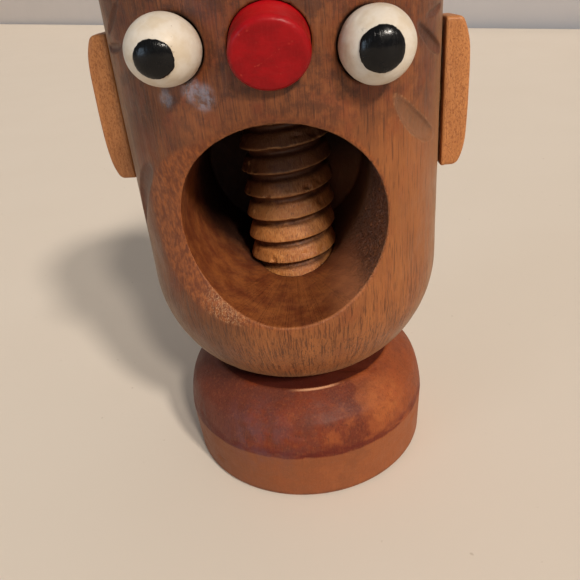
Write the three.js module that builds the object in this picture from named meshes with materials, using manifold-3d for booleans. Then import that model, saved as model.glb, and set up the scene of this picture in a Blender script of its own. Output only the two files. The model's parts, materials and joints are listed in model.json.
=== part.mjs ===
// Screw-type nutcracker figure: a turned head with a round mouth climbs a wooden screw on a turned base.
// Millimetres, +Z up, origin at the centre of the base's underside, face towards -Y.
import * as THREE from "three";
import { mergeVertices } from "three/addons/utils/BufferGeometryUtils.js";
import Module from "manifold-3d";

// Base
const FOOT_RADIUS = 34.7;
const RIM_RADIUS = 35.4;
const RIM_HEIGHT = 15;
const BASE_TOP_RADIUS = 26;
const BASE_HEIGHT = 30.2;
const FLANK_BULGE = 3;
const FOOT_CHAMFER = 0.7;

// Screw: single-start right-hand thread with broad crests and narrow grooves
const CREST_RADIUS = 12;
const ROOT_RADIUS = 9.6;
const THREAD_PITCH = 6;
const CREST_WIDTH = 2.8;
const ROOT_WIDTH = 0.9;
const THREAD_PHASE = 3.4;
const THREAD_START = 32.5;
const SCREW_TOP = 99;
const TIP_RADIUS = 7.5;
const TIP_HEIGHT = 3;
const SPINDLE_DOWEL_RADIUS = 5;
const SPINDLE_DOWEL_BOTTOM = 11;
const SPINDLE_DOWEL_TOP = 50;

// Head
const HEAD_RADIUS = 38;
const CHIN_HEIGHT = 31.6;
const CHIN_RADIUS = 18.8;
const CHIN_TOP = 57.7;
const CHIN_POWER = 1.115;
const CROWN_START = 126;
const CROWN_TOP = 152;

// Mouth: a blind bore from the front, with a softened lip that is widest on the left
const MOUTH_RADIUS = 22.5;
const MOUTH_X = -0.8;
const MOUTH_Z = 79.1;
const MOUTH_BACK = 24;
const LIP_WIDTH = 0.6;
const LIP_TOP_EXTRA = 0.9;
const LIP_LEFT_EXTRA = 7;
const LIP_LEFT_ANGLE = 188;
const LIP_LEFT_SPREAD = 52;
const LIP_SLOPE = 0.13;
const LIP_DEPTH = 0.15;

// Eyes: each ball is a little flatter than round and sits in a dished socket on a peg.
// A thick spot of paint is its pupil.
const EYE_RADIUS = 7.05;
const EYE_REACH = 40.8;
const PUPIL_THICKNESS = 0.25;
const PAINT_GAP = 0.06;
const EYES = [
  { side: "left", turn: -28, z: 116, flatness: 0.91, gazeTurn: -5.7, gazeRise: -7.5, pupilSpread: 32 },
  { side: "right", turn: 28, z: 113.8, flatness: 0.98, gazeTurn: 0.8, gazeRise: -1.5, pupilSpread: 35 },
];

// Nose: a slightly oval button with a bevelled front edge, let into a seat that leans it downwards
const NOSE_RADIUS = 7.4;
const NOSE_FACE_RADIUS = 7;
const NOSE_FLATNESS = 0.91;
const NOSE_Z = 115.4;
const NOSE_TILT = 18;
const NOSE_PROUD = 4.5;
const NOSE_SUNK = 3.6;
const NOSE_BEVEL = 0.6;

// Ears: bowed slabs, each held a hair off the head by a dowel
const EAR_HEIGHT = 34;
const EAR_DEPTH = 12;
const EAR_THICKNESS = 6.1;
const EAR_END_THICKNESS = 3.9;
const EAR_TOP_POWER = 4.5;
const EAR_BOTTOM_POWER = 5;
const EAR_CHAMFER = 0.8;
const EAR_STANDOFF = 0.3;
const EAR_PEG_RADIUS = 3;
const EARS = [
  { side: "left", turn: -90, y: 1.5, z: 100.9 },
  { side: "right", turn: 90, y: -0.5, z: 98.2 },
];

// Joinery
const PEG_RADIUS = 2;
const PEG_DEPTH = 8;
const PEG_REACH = 3.5;
const GLUE_GAP = 0.15;
const SEAT_GAP = 0.3;
const THREAD_CLEARANCE = 0.35;
const FLANK_CLEARANCE_SHARE = 0.7;

// Gouge cuts at the corners of the eyes and across the cheeks
const GOUGES = [
  { turn: 58.5, z: 111.2, length: 16, width: 3.2, depth: 0.9, tilt: -24 },
  { turn: 59.5, z: 117.6, length: 10, width: 2, depth: 0.6, tilt: 9 },
  { turn: 47.5, z: 93.3, length: 24, width: 6, depth: 1.1, tilt: -42 },
  { turn: -55.5, z: 121.2, length: 11, width: 2, depth: 0.6, tilt: 33 },
  { turn: -60, z: 115.6, length: 10, width: 2.4, depth: 0.8, tilt: 4 },
  { turn: -62, z: 84, length: 24, width: 6, depth: 1.1, tilt: 50 },
];

// Facets round a full turn
const BODY_FACETS = 60;
const MOUTH_FACETS = 48;
const THREAD_FACETS = 28;
const BALL_FACETS = 24;
const BALL_ROWS = 14;
const GOUGE_FACETS = 12;
const PEG_FACETS = 16;

const { degToRad } = THREE.MathUtils;
const wasm = await Module();
wasm.setup();

function finish(color, roughness) {
  return new THREE.MeshStandardMaterial({ color, roughness, metalness: 0 });
}

const BROWN_WOOD = finish(0x8a5632, 0.45);
const RED_BROWN_WOOD = finish(0x7a4226, 0.45);
const PALE_WOOD = finish(0xc08a5a, 0.6);
const ORANGE_WOOD = finish(0xc98a52, 0.55);
const DOWEL_WOOD = finish(0xcfae7c, 0.7);
const WHITE_PAINT = finish(0xece4d2, 0.3);
const BLACK_PAINT = finish(0x101114, 0.15);
const RED_PAINT = finish(0xb3141c, 0.35);

// The same surface with its doubled vertices joined and its zero-width triangles dropped.
function joined(geometry) {
  geometry.deleteAttribute("normal");
  geometry.deleteAttribute("uv");
  const merged = mergeVertices(geometry, 1e-4);
  const kept = [];
  for (let i = 0; i < merged.index.count; i += 3) {
    const [a, b, c] = merged.index.array.slice(i, i + 3);
    if (a !== b && b !== c && c !== a) kept.push(a, b, c);
  }
  merged.setIndex(kept);
  return merged;
}

function toSolid(geometry) {
  const closed = joined(geometry.clone());
  const mesh = new wasm.Mesh({
    numProp: 3,
    vertProperties: closed.getAttribute("position").array,
    triVerts: new Uint32Array(closed.index.array),
  });
  return new wasm.Manifold(mesh);
}

function toGeometry(solid) {
  const mesh = solid.getMesh();
  const geometry = new THREE.BufferGeometry();
  geometry.setAttribute("position", new THREE.BufferAttribute(mesh.vertProperties, 3));
  geometry.setIndex(new THREE.BufferAttribute(mesh.triVerts, 1));
  return geometry;
}

function cut(geometry, ...cutters) {
  let solid = toSolid(geometry);
  for (const cutter of cutters) solid = solid.subtract(toSolid(cutter));
  return toGeometry(solid);
}

// A closed tube from rings of points, each ring joined to the next and the last to the first.
function ringSurface(rings) {
  const size = rings[0].length;
  const geometry = new THREE.BufferGeometry();
  geometry.setAttribute("position", new THREE.Float32BufferAttribute(rings.flat(2), 3));
  const indices = [];
  rings.forEach((_, k) => {
    const low = k * size;
    const high = ((k + 1) % rings.length) * size;
    for (let i = 0; i < size; i += 1) {
      const j = (i + 1) % size;
      indices.push(low + i, low + j, high + j, low + i, high + j, high + i);
    }
  });
  geometry.setIndex(indices);
  return geometry;
}

// A solid turned about Z from [radius, z] pairs, lower pole to upper pole.
function turned(profile, facets = BODY_FACETS) {
  const points = profile.map(([radius, z]) => new THREE.Vector2(radius, z));
  return new THREE.LatheGeometry(points, facets).rotateX(0.5 * Math.PI);
}

function cylinderProfile(radius, low, high) {
  return [[0, low], [radius, low], [radius, high], [0, high]];
}

// A round bar along Y whose -Y end stands `out` from the origin and whose +Y end lies `into` behind it.
function dowel(radius, into, out, facets = PEG_FACETS) {
  return new THREE.CylinderGeometry(radius, radius, into + out, facets).translate(0, 0.5 * (into - out), 0);
}

// Points of a quarter superellipse from the wall [wide, from] to the pole side [narrow, to].
function shoulder(wide, narrow, from, to, power, steps) {
  const points = [[wide, from]];
  for (let i = 1; i < steps; i += 1) {
    const t = (0.5 * Math.PI * i) / steps;
    const radius = narrow + (wide - narrow) * Math.cos(t) ** power;
    points.push([radius, from + (to - from) * Math.sin(t) ** power]);
  }
  points.push([narrow, to]);
  return points;
}

// A right-hand threaded bar that runs at least a turn past both heights, grown by a clearance.
function threadedBar(low, high, clearance) {
  const crest = CREST_RADIUS + clearance;
  const root = ROOT_RADIUS + clearance;
  const halfCrest = 0.5 * CREST_WIDTH + FLANK_CLEARANCE_SHARE * clearance;
  const halfRoot = 0.5 * ROOT_WIDTH - FLANK_CLEARANCE_SHARE * clearance;
  const corners = [
    [-halfCrest, crest],
    [halfCrest, crest],
    [0.5 * THREAD_PITCH - halfRoot, root],
    [0.5 * THREAD_PITCH + halfRoot, root],
  ];
  const first = Math.floor((low - THREAD_PHASE) / THREAD_PITCH) - 1;
  const last = Math.ceil((high - THREAD_PHASE) / THREAD_PITCH) + 1;
  const rows = [];
  for (let turn = first; turn <= last; turn += 1) {
    for (const [offset, radius] of corners) {
      const start = THREAD_PHASE + THREAD_PITCH * turn + offset;
      const row = [];
      for (let i = 0; i <= THREAD_FACETS; i += 1) {
        const angle = (2 * Math.PI * (i % THREAD_FACETS)) / THREAD_FACETS;
        const z = start + (THREAD_PITCH * i) / THREAD_FACETS;
        row.push([radius * Math.cos(angle), radius * Math.sin(angle), z]);
      }
      rows.push(row);
    }
  }
  const triangles = [];
  for (let k = 0; k + 1 < rows.length; k += 1) {
    for (let i = 0; i < THREAD_FACETS; i += 1) {
      triangles.push(rows[k][i], rows[k][i + 1], rows[k + 1][i + 1]);
      triangles.push(rows[k][i], rows[k + 1][i + 1], rows[k + 1][i]);
    }
  }
  // Each end is a one-turn ramp and the step at its start, closed to a point on the axis.
  for (const [k, facesDown] of [[0, true], [rows.length - 1, false]]) {
    const edge = [...rows[k]];
    for (let n = 1; n < corners.length; n += 1) {
      edge.push(facesDown ? rows[corners.length - n][0] : rows[k - n][THREAD_FACETS]);
    }
    const centre = [0, 0, edge[0][2] + 0.5 * THREAD_PITCH];
    edge.forEach((from, i) => {
      const to = edge[(i + 1) % edge.length];
      triangles.push(centre, facesDown ? to : from, facesDown ? from : to);
    });
  }
  const geometry = new THREE.BufferGeometry();
  geometry.setAttribute("position", new THREE.Float32BufferAttribute(triangles.flat(), 3));
  return geometry;
}

function headY(x) {
  return -Math.sqrt(HEAD_RADIUS ** 2 - x ** 2);
}

// How far the softened lip reaches out from the mouth's edge.
function lipWidth(angle) {
  const away = (THREE.MathUtils.radToDeg(angle) - LIP_LEFT_ANGLE) / LIP_LEFT_SPREAD;
  return LIP_WIDTH + LIP_TOP_EXTRA * Math.max(Math.sin(angle), 0) + LIP_LEFT_EXTRA * Math.exp(-(away ** 4));
}

// A point of the head's front surface round the mouth, or `deeper` behind it.
function mouthPoint(angle, radius, deeper) {
  const x = MOUTH_X + radius * Math.cos(angle);
  return new THREE.Vector3(x, headY(x) + deeper, MOUTH_Z + radius * Math.sin(angle));
}

// A ring that takes the sharp corner off the mouth's edge.
function lipCutter() {
  const rings = [];
  for (let i = 0; i < MOUTH_FACETS; i += 1) {
    const angle = (2 * Math.PI * i) / MOUTH_FACETS;
    const width = lipWidth(angle);
    const outer = mouthPoint(angle, MOUTH_RADIUS + width, 0);
    const inner = mouthPoint(angle, MOUTH_RADIUS, LIP_SLOPE * width + LIP_DEPTH);
    const across = outer.clone().sub(inner).normalize();
    outer.add(across);
    inner.sub(across);
    const front = -2 * HEAD_RADIUS;
    rings.push([[inner.x, front, inner.z], [outer.x, front, outer.z], outer.toArray(), inner.toArray()]);
  }
  return ringSurface(rings);
}

// A lens-shaped scoop lying in the head's surface.
function gougeCutter({ turn, z, length, width, depth, tilt }) {
  const angle = degToRad(turn);
  return new THREE.SphereGeometry(1, GOUGE_FACETS, 0.5 * GOUGE_FACETS)
    .scale(0.5 * length, depth, 0.5 * width)
    .rotateY(-degToRad(tilt))
    .rotateZ(angle)
    .translate(HEAD_RADIUS * Math.sin(angle), -HEAD_RADIUS * Math.cos(angle), z);
}

const figure = new THREE.Group();
figure.name = "nutcracker_figure";
const headGroup = new THREE.Group();
figure.add(headGroup);

function place(group, name, geometry, material) {
  const mesh = new THREE.Mesh(joined(geometry), material);
  mesh.name = name;
  group.add(mesh);
  return mesh;
}

// A group on the head's side whose own -Y points straight out from the axis.
function station(turn, reach, z, y = 0) {
  const group = new THREE.Group();
  const angle = degToRad(turn);
  group.rotation.z = angle;
  group.position.set(reach * Math.sin(angle), y - reach * Math.cos(angle), z);
  group.updateMatrix();
  headGroup.add(group);
  return group;
}

// Base: upright band, pillowed flank, flat top with a blind hole for the spindle's dowel.
function makeBase() {
  const run = new THREE.Vector2(BASE_TOP_RADIUS - RIM_RADIUS, BASE_HEIGHT - RIM_HEIGHT);
  const out = new THREE.Vector2(run.y, -run.x).normalize();
  const steps = 6;
  const profile = [[0, 0], [FOOT_RADIUS - FOOT_CHAMFER, 0], [FOOT_RADIUS, FOOT_CHAMFER]];
  for (let i = 0; i <= steps; i += 1) {
    const t = i / steps;
    const swell = 4 * FLANK_BULGE * t * (1 - t);
    profile.push([RIM_RADIUS + t * run.x + swell * out.x, RIM_HEIGHT + t * run.y + swell * out.y]);
  }
  profile.push([0, BASE_HEIGHT]);
  const holeBottom = SPINDLE_DOWEL_BOTTOM - GLUE_GAP;
  const hole = cylinderProfile(SPINDLE_DOWEL_RADIUS + GLUE_GAP, holeBottom, BASE_HEIGHT + 1);
  place(figure, "base", cut(turned(profile), turned(hole, PEG_FACETS)), RED_BROWN_WOOD);
}

function makeSpindleDowel() {
  const dowelProfile = cylinderProfile(SPINDLE_DOWEL_RADIUS, SPINDLE_DOWEL_BOTTOM, SPINDLE_DOWEL_TOP);
  place(figure, "spindle_dowel", turned(dowelProfile, PEG_FACETS), DOWEL_WOOD);
}

// Screw: plain neck on the base, thread, chamfered tip, and a blind hole for the dowel.
function makeScrew() {
  const bottom = BASE_HEIGHT + SEAT_GAP;
  const wide = CREST_RADIUS + 1;
  const tipStart = SCREW_TOP - TIP_HEIGHT;
  const envelope = [
    [0, bottom],
    [ROOT_RADIUS, bottom],
    [ROOT_RADIUS, THREAD_START],
    [wide, THREAD_START + wide - ROOT_RADIUS],
    [wide, tipStart - 1],
    [CREST_RADIUS, tipStart],
    [TIP_RADIUS, SCREW_TOP],
    [0, SCREW_TOP],
  ];
  const neck = cylinderProfile(ROOT_RADIUS, bottom, THREAD_START + THREAD_PITCH);
  const hole = cylinderProfile(SPINDLE_DOWEL_RADIUS + GLUE_GAP, bottom - 1, SPINDLE_DOWEL_TOP + GLUE_GAP);
  const solid = toSolid(threadedBar(THREAD_START, SCREW_TOP, 0))
    .intersect(toSolid(turned(envelope, THREAD_FACETS)))
    .add(toSolid(turned(neck, THREAD_FACETS)))
    .subtract(toSolid(turned(hole, PEG_FACETS)));
  place(figure, "screw", toGeometry(solid), PALE_WOOD);
}

function makeEye({ side, turn, z, flatness, gazeTurn, gazeRise, pupilSpread }) {
  const group = station(turn, EYE_REACH, z);
  const pegBottom = EYE_RADIUS + PEG_DEPTH;
  const hole = dowel(PEG_RADIUS + GLUE_GAP, pegBottom + GLUE_GAP, GLUE_GAP);
  const ball = new THREE.SphereGeometry(EYE_RADIUS, BALL_FACETS, BALL_ROWS).scale(1, 1, flatness);
  place(group, `eye_${side}`, cut(ball, hole), WHITE_PAINT);
  place(group, `eye_peg_${side}`, dowel(PEG_RADIUS, pegBottom, 0), DOWEL_WOOD);

  // The pupil is a thin cap of paint turned about the line of the gaze and flattened with its ball.
  const steps = 4;
  const inner = EYE_RADIUS + PAINT_GAP;
  const arc = (radius, i) => {
    const angle = (degToRad(pupilSpread) * i) / steps;
    return new THREE.Vector2(radius * Math.sin(angle), radius * Math.cos(angle));
  };
  const profile = [];
  for (let i = 0; i <= steps; i += 1) profile.push(arc(inner, i));
  for (let i = steps - 1; i >= 0; i -= 1) profile.push(arc(inner + PUPIL_THICKNESS, i));
  const cap = new THREE.LatheGeometry(profile, BALL_FACETS).rotateX(Math.PI);
  const flattened = new THREE.Group();
  flattened.scale.z = flatness;
  group.add(flattened);
  const pupil = place(flattened, `pupil_${side}`, cap, BLACK_PAINT);
  pupil.rotation.set(-degToRad(gazeRise), 0, degToRad(gazeTurn - turn), "ZXY");

  const socket = new THREE.SphereGeometry(EYE_RADIUS + SEAT_GAP, BALL_FACETS, BALL_ROWS);
  socket.scale(1, 1, flatness);
  return [socket, hole].map((cutter) => cutter.clone().applyMatrix4(group.matrix));
}

function makeNose() {
  const group = station(0, HEAD_RADIUS, NOSE_Z);
  group.rotation.x = degToRad(NOSE_TILT);
  group.updateMatrix();
  const profile = [
    [0, -NOSE_SUNK],
    [NOSE_RADIUS, -NOSE_SUNK],
    [NOSE_RADIUS, NOSE_PROUD - NOSE_BEVEL],
    [NOSE_FACE_RADIUS, NOSE_PROUD],
    [0, NOSE_PROUD],
  ];
  const points = profile.map(([radius, out]) => new THREE.Vector2(radius, out));
  const button = new THREE.LatheGeometry(points, BALL_FACETS).rotateX(Math.PI).scale(1, 1, NOSE_FLATNESS);
  const pegBottom = NOSE_SUNK + PEG_DEPTH;
  const hole = dowel(PEG_RADIUS + GLUE_GAP, pegBottom + GLUE_GAP, PEG_REACH + GLUE_GAP);
  place(group, "nose", cut(button, hole), RED_PAINT);
  place(group, "nose_peg", dowel(PEG_RADIUS, pegBottom, PEG_REACH), DOWEL_WOOD);

  const seat = dowel(NOSE_RADIUS + SEAT_GAP, NOSE_SUNK + SEAT_GAP, NOSE_PROUD, BALL_FACETS);
  seat.scale(1, 1, NOSE_FLATNESS);
  return [seat, hole].map((cutter) => cutter.clone().applyMatrix4(group.matrix));
}

// The ear's thickness from its lower end at -1 to its upper end at 1.
function earThickness(t) {
  const power = t > 0 ? EAR_TOP_POWER : EAR_BOTTOM_POWER;
  return EAR_THICKNESS - (EAR_THICKNESS - EAR_END_THICKNESS) * Math.abs(t) ** power;
}

function makeEar({ side, turn, y, z }) {
  const group = station(turn, HEAD_RADIUS + EAR_STANDOFF, z, y);
  const half = 0.5 * EAR_HEIGHT;
  const steps = 8;
  const shape = new THREE.Shape();
  shape.moveTo(0, -half);
  for (let i = -steps; i <= steps; i += 1) shape.lineTo(earThickness(i / steps), (half * i) / steps);
  shape.lineTo(0, half);
  const slab = new THREE.ExtrudeGeometry(shape, {
    depth: EAR_DEPTH - 2 * EAR_CHAMFER,
    bevelThickness: EAR_CHAMFER,
    bevelSize: EAR_CHAMFER,
    bevelOffset: -EAR_CHAMFER,
    bevelSegments: 1,
  });
  slab.translate(0, 0, EAR_CHAMFER - 0.5 * EAR_DEPTH);
  const outwards = new THREE.Vector3(0, -1, 0);
  const upwards = new THREE.Vector3(0, 0, 1);
  slab.applyMatrix4(new THREE.Matrix4().makeBasis(outwards, upwards, outwards.clone().cross(upwards)));

  const hole = dowel(EAR_PEG_RADIUS + GLUE_GAP, PEG_DEPTH + GLUE_GAP, PEG_REACH + GLUE_GAP);
  place(group, `ear_${side}`, cut(slab, hole), ORANGE_WOOD);
  place(group, `ear_peg_${side}`, dowel(EAR_PEG_RADIUS, PEG_DEPTH, PEG_REACH), DOWEL_WOOD);
  return [hole.clone().applyMatrix4(group.matrix)];
}

// Head: cylinder with rounded chin and crown, bored for the mouth and threaded up through the chin.
function makeHead(cutters) {
  const profile = [
    [0, CHIN_HEIGHT],
    ...shoulder(HEAD_RADIUS, CHIN_RADIUS, CHIN_TOP, CHIN_HEIGHT, CHIN_POWER, 8).reverse(),
    ...shoulder(HEAD_RADIUS, 0, CROWN_START, CROWN_TOP, 1, 9),
  ];
  const bore = dowel(MOUTH_RADIUS, MOUTH_BACK, 2 * HEAD_RADIUS, MOUTH_FACETS);
  bore.translate(MOUTH_X, 0, MOUTH_Z);
  const thread = threadedBar(CHIN_HEIGHT, MOUTH_Z, THREAD_CLEARANCE);
  const head = cut(turned(profile), bore, lipCutter(), thread, ...GOUGES.map(gougeCutter), ...cutters);
  place(headGroup, "head", head, BROWN_WOOD);
}

makeBase();
makeSpindleDowel();
makeScrew();
makeHead([...EYES.flatMap(makeEye), ...makeNose(), ...EARS.flatMap(makeEar)]);

export default figure;
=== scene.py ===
"""A screw nutcracker figure: worn turned wood and thick paint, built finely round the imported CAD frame.

Shapes are worked out in millimetres in the frame's own axes (+Z up, face towards -Y) and stored in metres.
"""

import functools
import itertools
import json
import math

import bpy
import numpy as np
from mathutils import Matrix, Vector


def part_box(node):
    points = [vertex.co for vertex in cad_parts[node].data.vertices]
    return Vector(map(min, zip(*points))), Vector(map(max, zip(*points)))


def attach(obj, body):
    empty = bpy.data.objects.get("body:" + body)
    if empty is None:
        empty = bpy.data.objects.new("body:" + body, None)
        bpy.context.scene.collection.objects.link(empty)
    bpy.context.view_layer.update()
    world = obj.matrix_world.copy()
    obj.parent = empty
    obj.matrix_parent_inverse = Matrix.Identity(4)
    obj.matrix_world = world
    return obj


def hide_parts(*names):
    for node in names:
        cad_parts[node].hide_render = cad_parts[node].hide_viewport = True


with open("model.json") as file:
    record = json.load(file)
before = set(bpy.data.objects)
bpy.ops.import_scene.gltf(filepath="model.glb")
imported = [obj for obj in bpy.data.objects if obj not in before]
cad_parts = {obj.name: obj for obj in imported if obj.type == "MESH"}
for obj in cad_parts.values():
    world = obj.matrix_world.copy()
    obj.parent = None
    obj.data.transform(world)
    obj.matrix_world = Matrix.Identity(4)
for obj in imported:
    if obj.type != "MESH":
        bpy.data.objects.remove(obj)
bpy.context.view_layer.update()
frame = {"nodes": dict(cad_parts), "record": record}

MM = 0.001
EDGE = 0.02  # half the span over which a field's slope is measured
scene = bpy.context.scene

# ---- places and sizes, from the frame


def box(node):
    low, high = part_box(node)
    return np.array(low) / MM, np.array(high) / MM


def middle(node):
    low, high = box(node)
    return 0.5 * (low + high)


RATIO = frame["record"]["behaviour"]["couplings"][0]["ratio"]
PITCH = abs(RATIO) * 2 * math.pi / MM

BASE_HIGH = box("base")[1]
SCREW_LOW, SCREW_HIGH = box("screw")
HEAD_LOW, HEAD_HIGH = box("head")
HEAD_RADIUS = HEAD_HIGH[0]
CHIN_BOTTOM, CROWN_TOP = HEAD_LOW[2], HEAD_HIGH[2]

# Base
FOOT_RADIUS, FOOT_CHAMFER = 34.7, 0.7
RIM_HEIGHT, BASE_TOP_RADIUS, FLANK_BULGE, FLANK_POWER = 14.5, 26, 3, 1.45

# Head
CHIN_RADIUS, CHIN_TOP, CHIN_POWER = 18.8, 57.7, 1.115
CROWN_START = 126
MOUTH_X, MOUTH_Z, MOUTH_RADIUS, MOUTH_BACK = -0.8, 79.1, 22.5, 24
LIP_WIDTH, LIP_TOP_EXTRA, LIP_LEFT_EXTRA = 0.6, 0.9, 7
LIP_LEFT_ANGLE, LIP_LEFT_SPREAD, LIP_SLOPE, LIP_DEPTH, LIP_ROLL = 188, 52, 0.13, 0.15, 0.16

# Thread
CREST_RADIUS, ROOT_RADIUS = 12, 9.6
HALF_CREST, HALF_ROOT, CREST_LEAN = 1.55, 0.4, 0.36
THREAD_PHASE, THREAD_START = 3.4, 32.5
TIP_RADIUS, TIP_HEIGHT = 7.5, 3
CHIN_CLEARANCE = 0.48

# Nose: an oval button that leans downwards
NOSE_RADIUS, NOSE_FACE_RADIUS, NOSE_FLATNESS = box("nose")[1][0], 6.75, 0.91
NOSE_Z, NOSE_TILT, NOSE_PROUD, NOSE_SUNK = 115.4, 18, 4.5, 3.6

# Ears
EAR_END_THICKNESS, EAR_TOP_POWER, EAR_BOTTOM_POWER = 3.9, 4.5, 5

# Growth rings in the wood: how far they stray from true circles
RING_WANDER = 3

# Joinery
GLUE_GAP, SEAT_GAP = 0.15, 0.3
PEG_DEPTH, PEG_REACH, TIGHT = 8, 3.5, 0.05
EYE_SEAT, PAINT_LIFT, PAINT_EDGE = 0.18, 0.03, 0.04
DOWEL_LOW, DOWEL_HIGH = box("spindle_dowel")
DOWEL_RADIUS = DOWEL_HIGH[0]
PEG_RADIUS, EAR_PEG_RADIUS, BEYOND_EARS = 2, 3, 60

# Gouge cuts: place round the head, height, length, width, depth, tilt, and how far the ends curl up
GOUGES = [
    (59, 111.6, 16, 3.0, 1.3, -24, 0.9),
    (61, 117.3, 10, 1.3, 0.6, 9, 0.2),
    (49.3, 96.4, 19, 4.6, 1.2, -34, 1.3),
    (-55.5, 121.2, 11, 1.5, 0.6, 33, 0.4),
    (-60, 115.8, 10, 1.7, 0.7, 4, 0.3),
    (-62, 84, 24, 5.0, 1.1, 50, -1.2),
]
CHEEK_CUT = 2

# Places of single marks: a painted highlight on the lip, a painted purplish sheen and an orange patch on
# the base, a painted highlight on its top edge, a splash on the right eye
LIP_SHEEN, BLACK_SPLASH = (-15.8, -34.4, 61), (15.4, -42.6, 117.2)
PURPLE_SHEEN, ORANGE_PATCH, EDGE_HIGHLIGHT = (-13, -32, 20), (21, -24, 23), (4, -25.5, 30)

# How finely the surfaces made from formulas are meshed, and the sides of the turned ones
HEAD_STEP, SCREW_STEP, EAR_STEP = 0.48, 0.42, 0.4
BASE_SIDES, EYE_SIDES, NOSE_SIDES, DOWEL_SIDES = 300, 160, 180, 72

# Multipliers that scramble a lattice corner into a random number for `noise`
HASH_AXES, HASH_SEED, HASH_MASK = (73856093, 19349663, 83492791), 2654435761, 0x7FFFFFFF
HASH_ROUNDS = ((13, 1274126177), (15, 2246822519))

# Runs of thick varnish under the left eye, with a painted bluish highlight on them: place round the head,
# height, size
VARNISH_AND_GLINT_SPOTS = [(-20.6, 107.2, 3.2), (-24, 108.6, 3.0), (-34, 106.9, 2.4)]


# ---- shape tools


def smooth_max(a, b, width):
    """The larger of two fields, with the corner between them rounded over about `width`."""
    h = np.clip(0.5 + 0.5 * (a - b) / width, 0, 1)
    return b + (a - b) * h + width * h * (1 - h)


def smooth_min(a, b, width):
    return -smooth_max(-a, -b, width)


def ramp(value, start, end):
    t = np.clip((value - start) / (end - start), 0, 1)
    return t * t * (3 - 2 * t)


def noise(points, cell, seed):
    """Smooth random values from -1 to 1, in lumps of size `cell`, which is one number or one per axis."""
    spot = points / np.asarray(cell, float)
    corner = np.floor(spot).astype(np.int64)
    part = spot - corner
    part = part * part * (3 - 2 * part)
    total = np.zeros(len(points))
    for step in itertools.product((0, 1), repeat=3):
        mixed = np.bitwise_xor.reduce((corner + step) * HASH_AXES, axis=1)
        mixed = (mixed ^ seed * HASH_SEED) & HASH_MASK
        for shift, factor in HASH_ROUNDS:
            mixed = ((mixed ^ mixed >> shift) * factor) & HASH_MASK
        weight = np.prod(np.where(step, part, 1 - part), axis=1)
        total += weight * (mixed / (HASH_MASK >> 1) - 1)
    return total


def gradient(field, points):
    slopes = []
    for axis in range(3):
        shift = EDGE * np.eye(3)[axis]
        slopes.append((field(*(points + shift).T) - field(*(points - shift).T)) / (2 * EDGE))
    return np.stack(slopes, axis=1)


def project(field, points, reach):
    """Moves each point onto the surface where the field is zero, by at most `reach`."""
    slope = gradient(field, points)
    size = np.maximum((slope**2).sum(1), 0.1)
    move = -(field(*points.T) / size)[:, None] * slope
    length = np.linalg.norm(move, axis=1, keepdims=True)
    return points + move * np.minimum(1, reach / np.maximum(length, 1e-9))


def surface(field, low, high, step):
    """Points, quads and outward directions of the closed surface where a field is zero.

    The field is negative inside the solid.
    """
    low = np.asarray(low, float) - 1.5 * step
    counts = np.ceil((np.asarray(high) + 1.5 * step - low) / step).astype(int) + 1
    axes = [low[axis] + step * np.arange(counts[axis]) for axis in range(3)]
    values = field(*np.meshgrid(*axes, indexing="ij", sparse=True))
    inside = values < 0
    filled = np.zeros(counts - 1, np.int8)
    for corner in itertools.product((0, 1), repeat=3):
        filled += inside[tuple(slice(c, c + n - 1) for c, n in zip(corner, counts))]
    mixed = (filled > 0) & (filled < 8)
    cells = np.argwhere(mixed)
    index = np.full(mixed.shape, -1)
    index[mixed] = np.arange(len(cells))

    total, hits = np.zeros((len(cells), 3)), np.zeros(len(cells))
    quads = []
    for axis in range(3):
        second, third = (axis + 1) % 3, (axis + 2) % 3
        for shift in itertools.product((0, 1), repeat=2):
            start = cells.copy()
            start[:, second] += shift[0]
            start[:, third] += shift[1]
            end = start.copy()
            end[:, axis] += 1
            a, b = values[tuple(start.T)], values[tuple(end.T)]
            crosses = (a < 0) != (b < 0)
            crossing = start[crosses].astype(float)
            crossing[:, axis] += a[crosses] / (a[crosses] - b[crosses])
            total[crosses] += crossing
            hits[crosses] += 1
        lower = np.take(inside, range(counts[axis] - 1), axis)
        upper = np.take(inside, range(1, counts[axis]), axis)
        edges = np.argwhere(lower != upper)
        ring = []
        for shift in ((1, 1), (0, 1), (0, 0), (1, 0)):
            cell = edges.copy()
            cell[:, second] -= shift[0]
            cell[:, third] -= shift[1]
            ring.append(index[tuple(cell.T)])
        ring = np.stack(ring, axis=1)
        leaving = lower[tuple(edges.T)]
        quads.append(np.where(leaving[:, None], ring, ring[:, ::-1]))
    quads = np.concatenate(quads)
    points = project(field, low + step * total / hits[:, None], step)

    ends = np.concatenate([quads, np.roll(quads, -1, 1)]).ravel()
    starts = np.concatenate([np.roll(quads, -1, 1), quads]).ravel()
    share = 1 / np.bincount(ends, minlength=len(points))
    for _ in range(3):
        mean = [np.bincount(ends, points[starts, axis], len(points)) * share for axis in range(3)]
        points = project(field, 0.4 * points + 0.6 * np.stack(mean, axis=1), 0.5 * step)
    normals = gradient(field, points)
    normals /= np.maximum(np.linalg.norm(normals, axis=1, keepdims=True), 1e-6)
    return points, quads, normals


def lathe(profile, segments):
    """Points and faces of a solid turned about Z from [radius, z] pairs that start and end on the axis."""
    profile = np.asarray(profile, float)
    angles = 2 * np.pi * np.arange(segments) / segments
    circle = np.stack([np.cos(angles), np.sin(angles)], axis=1)
    points = [[0, 0, profile[0, 1]]]
    for radius, z in profile[1:-1]:
        points.extend(np.column_stack([radius * circle, np.full(segments, z)]))
    points.append([0, 0, profile[-1, 1]])
    faces = []
    rows = len(profile) - 2
    last = 1 + rows * segments
    for i in range(segments):
        j = (i + 1) % segments
        faces.append((0, 1 + j, 1 + i))
        for row in range(rows - 1):
            low, high = 1 + row * segments, 1 + (row + 1) * segments
            faces.append((low + i, low + j, high + j, high + i))
        top = 1 + (rows - 1) * segments
        faces.append((top + i, top + j, last))
    return np.array(points, float), faces


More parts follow.
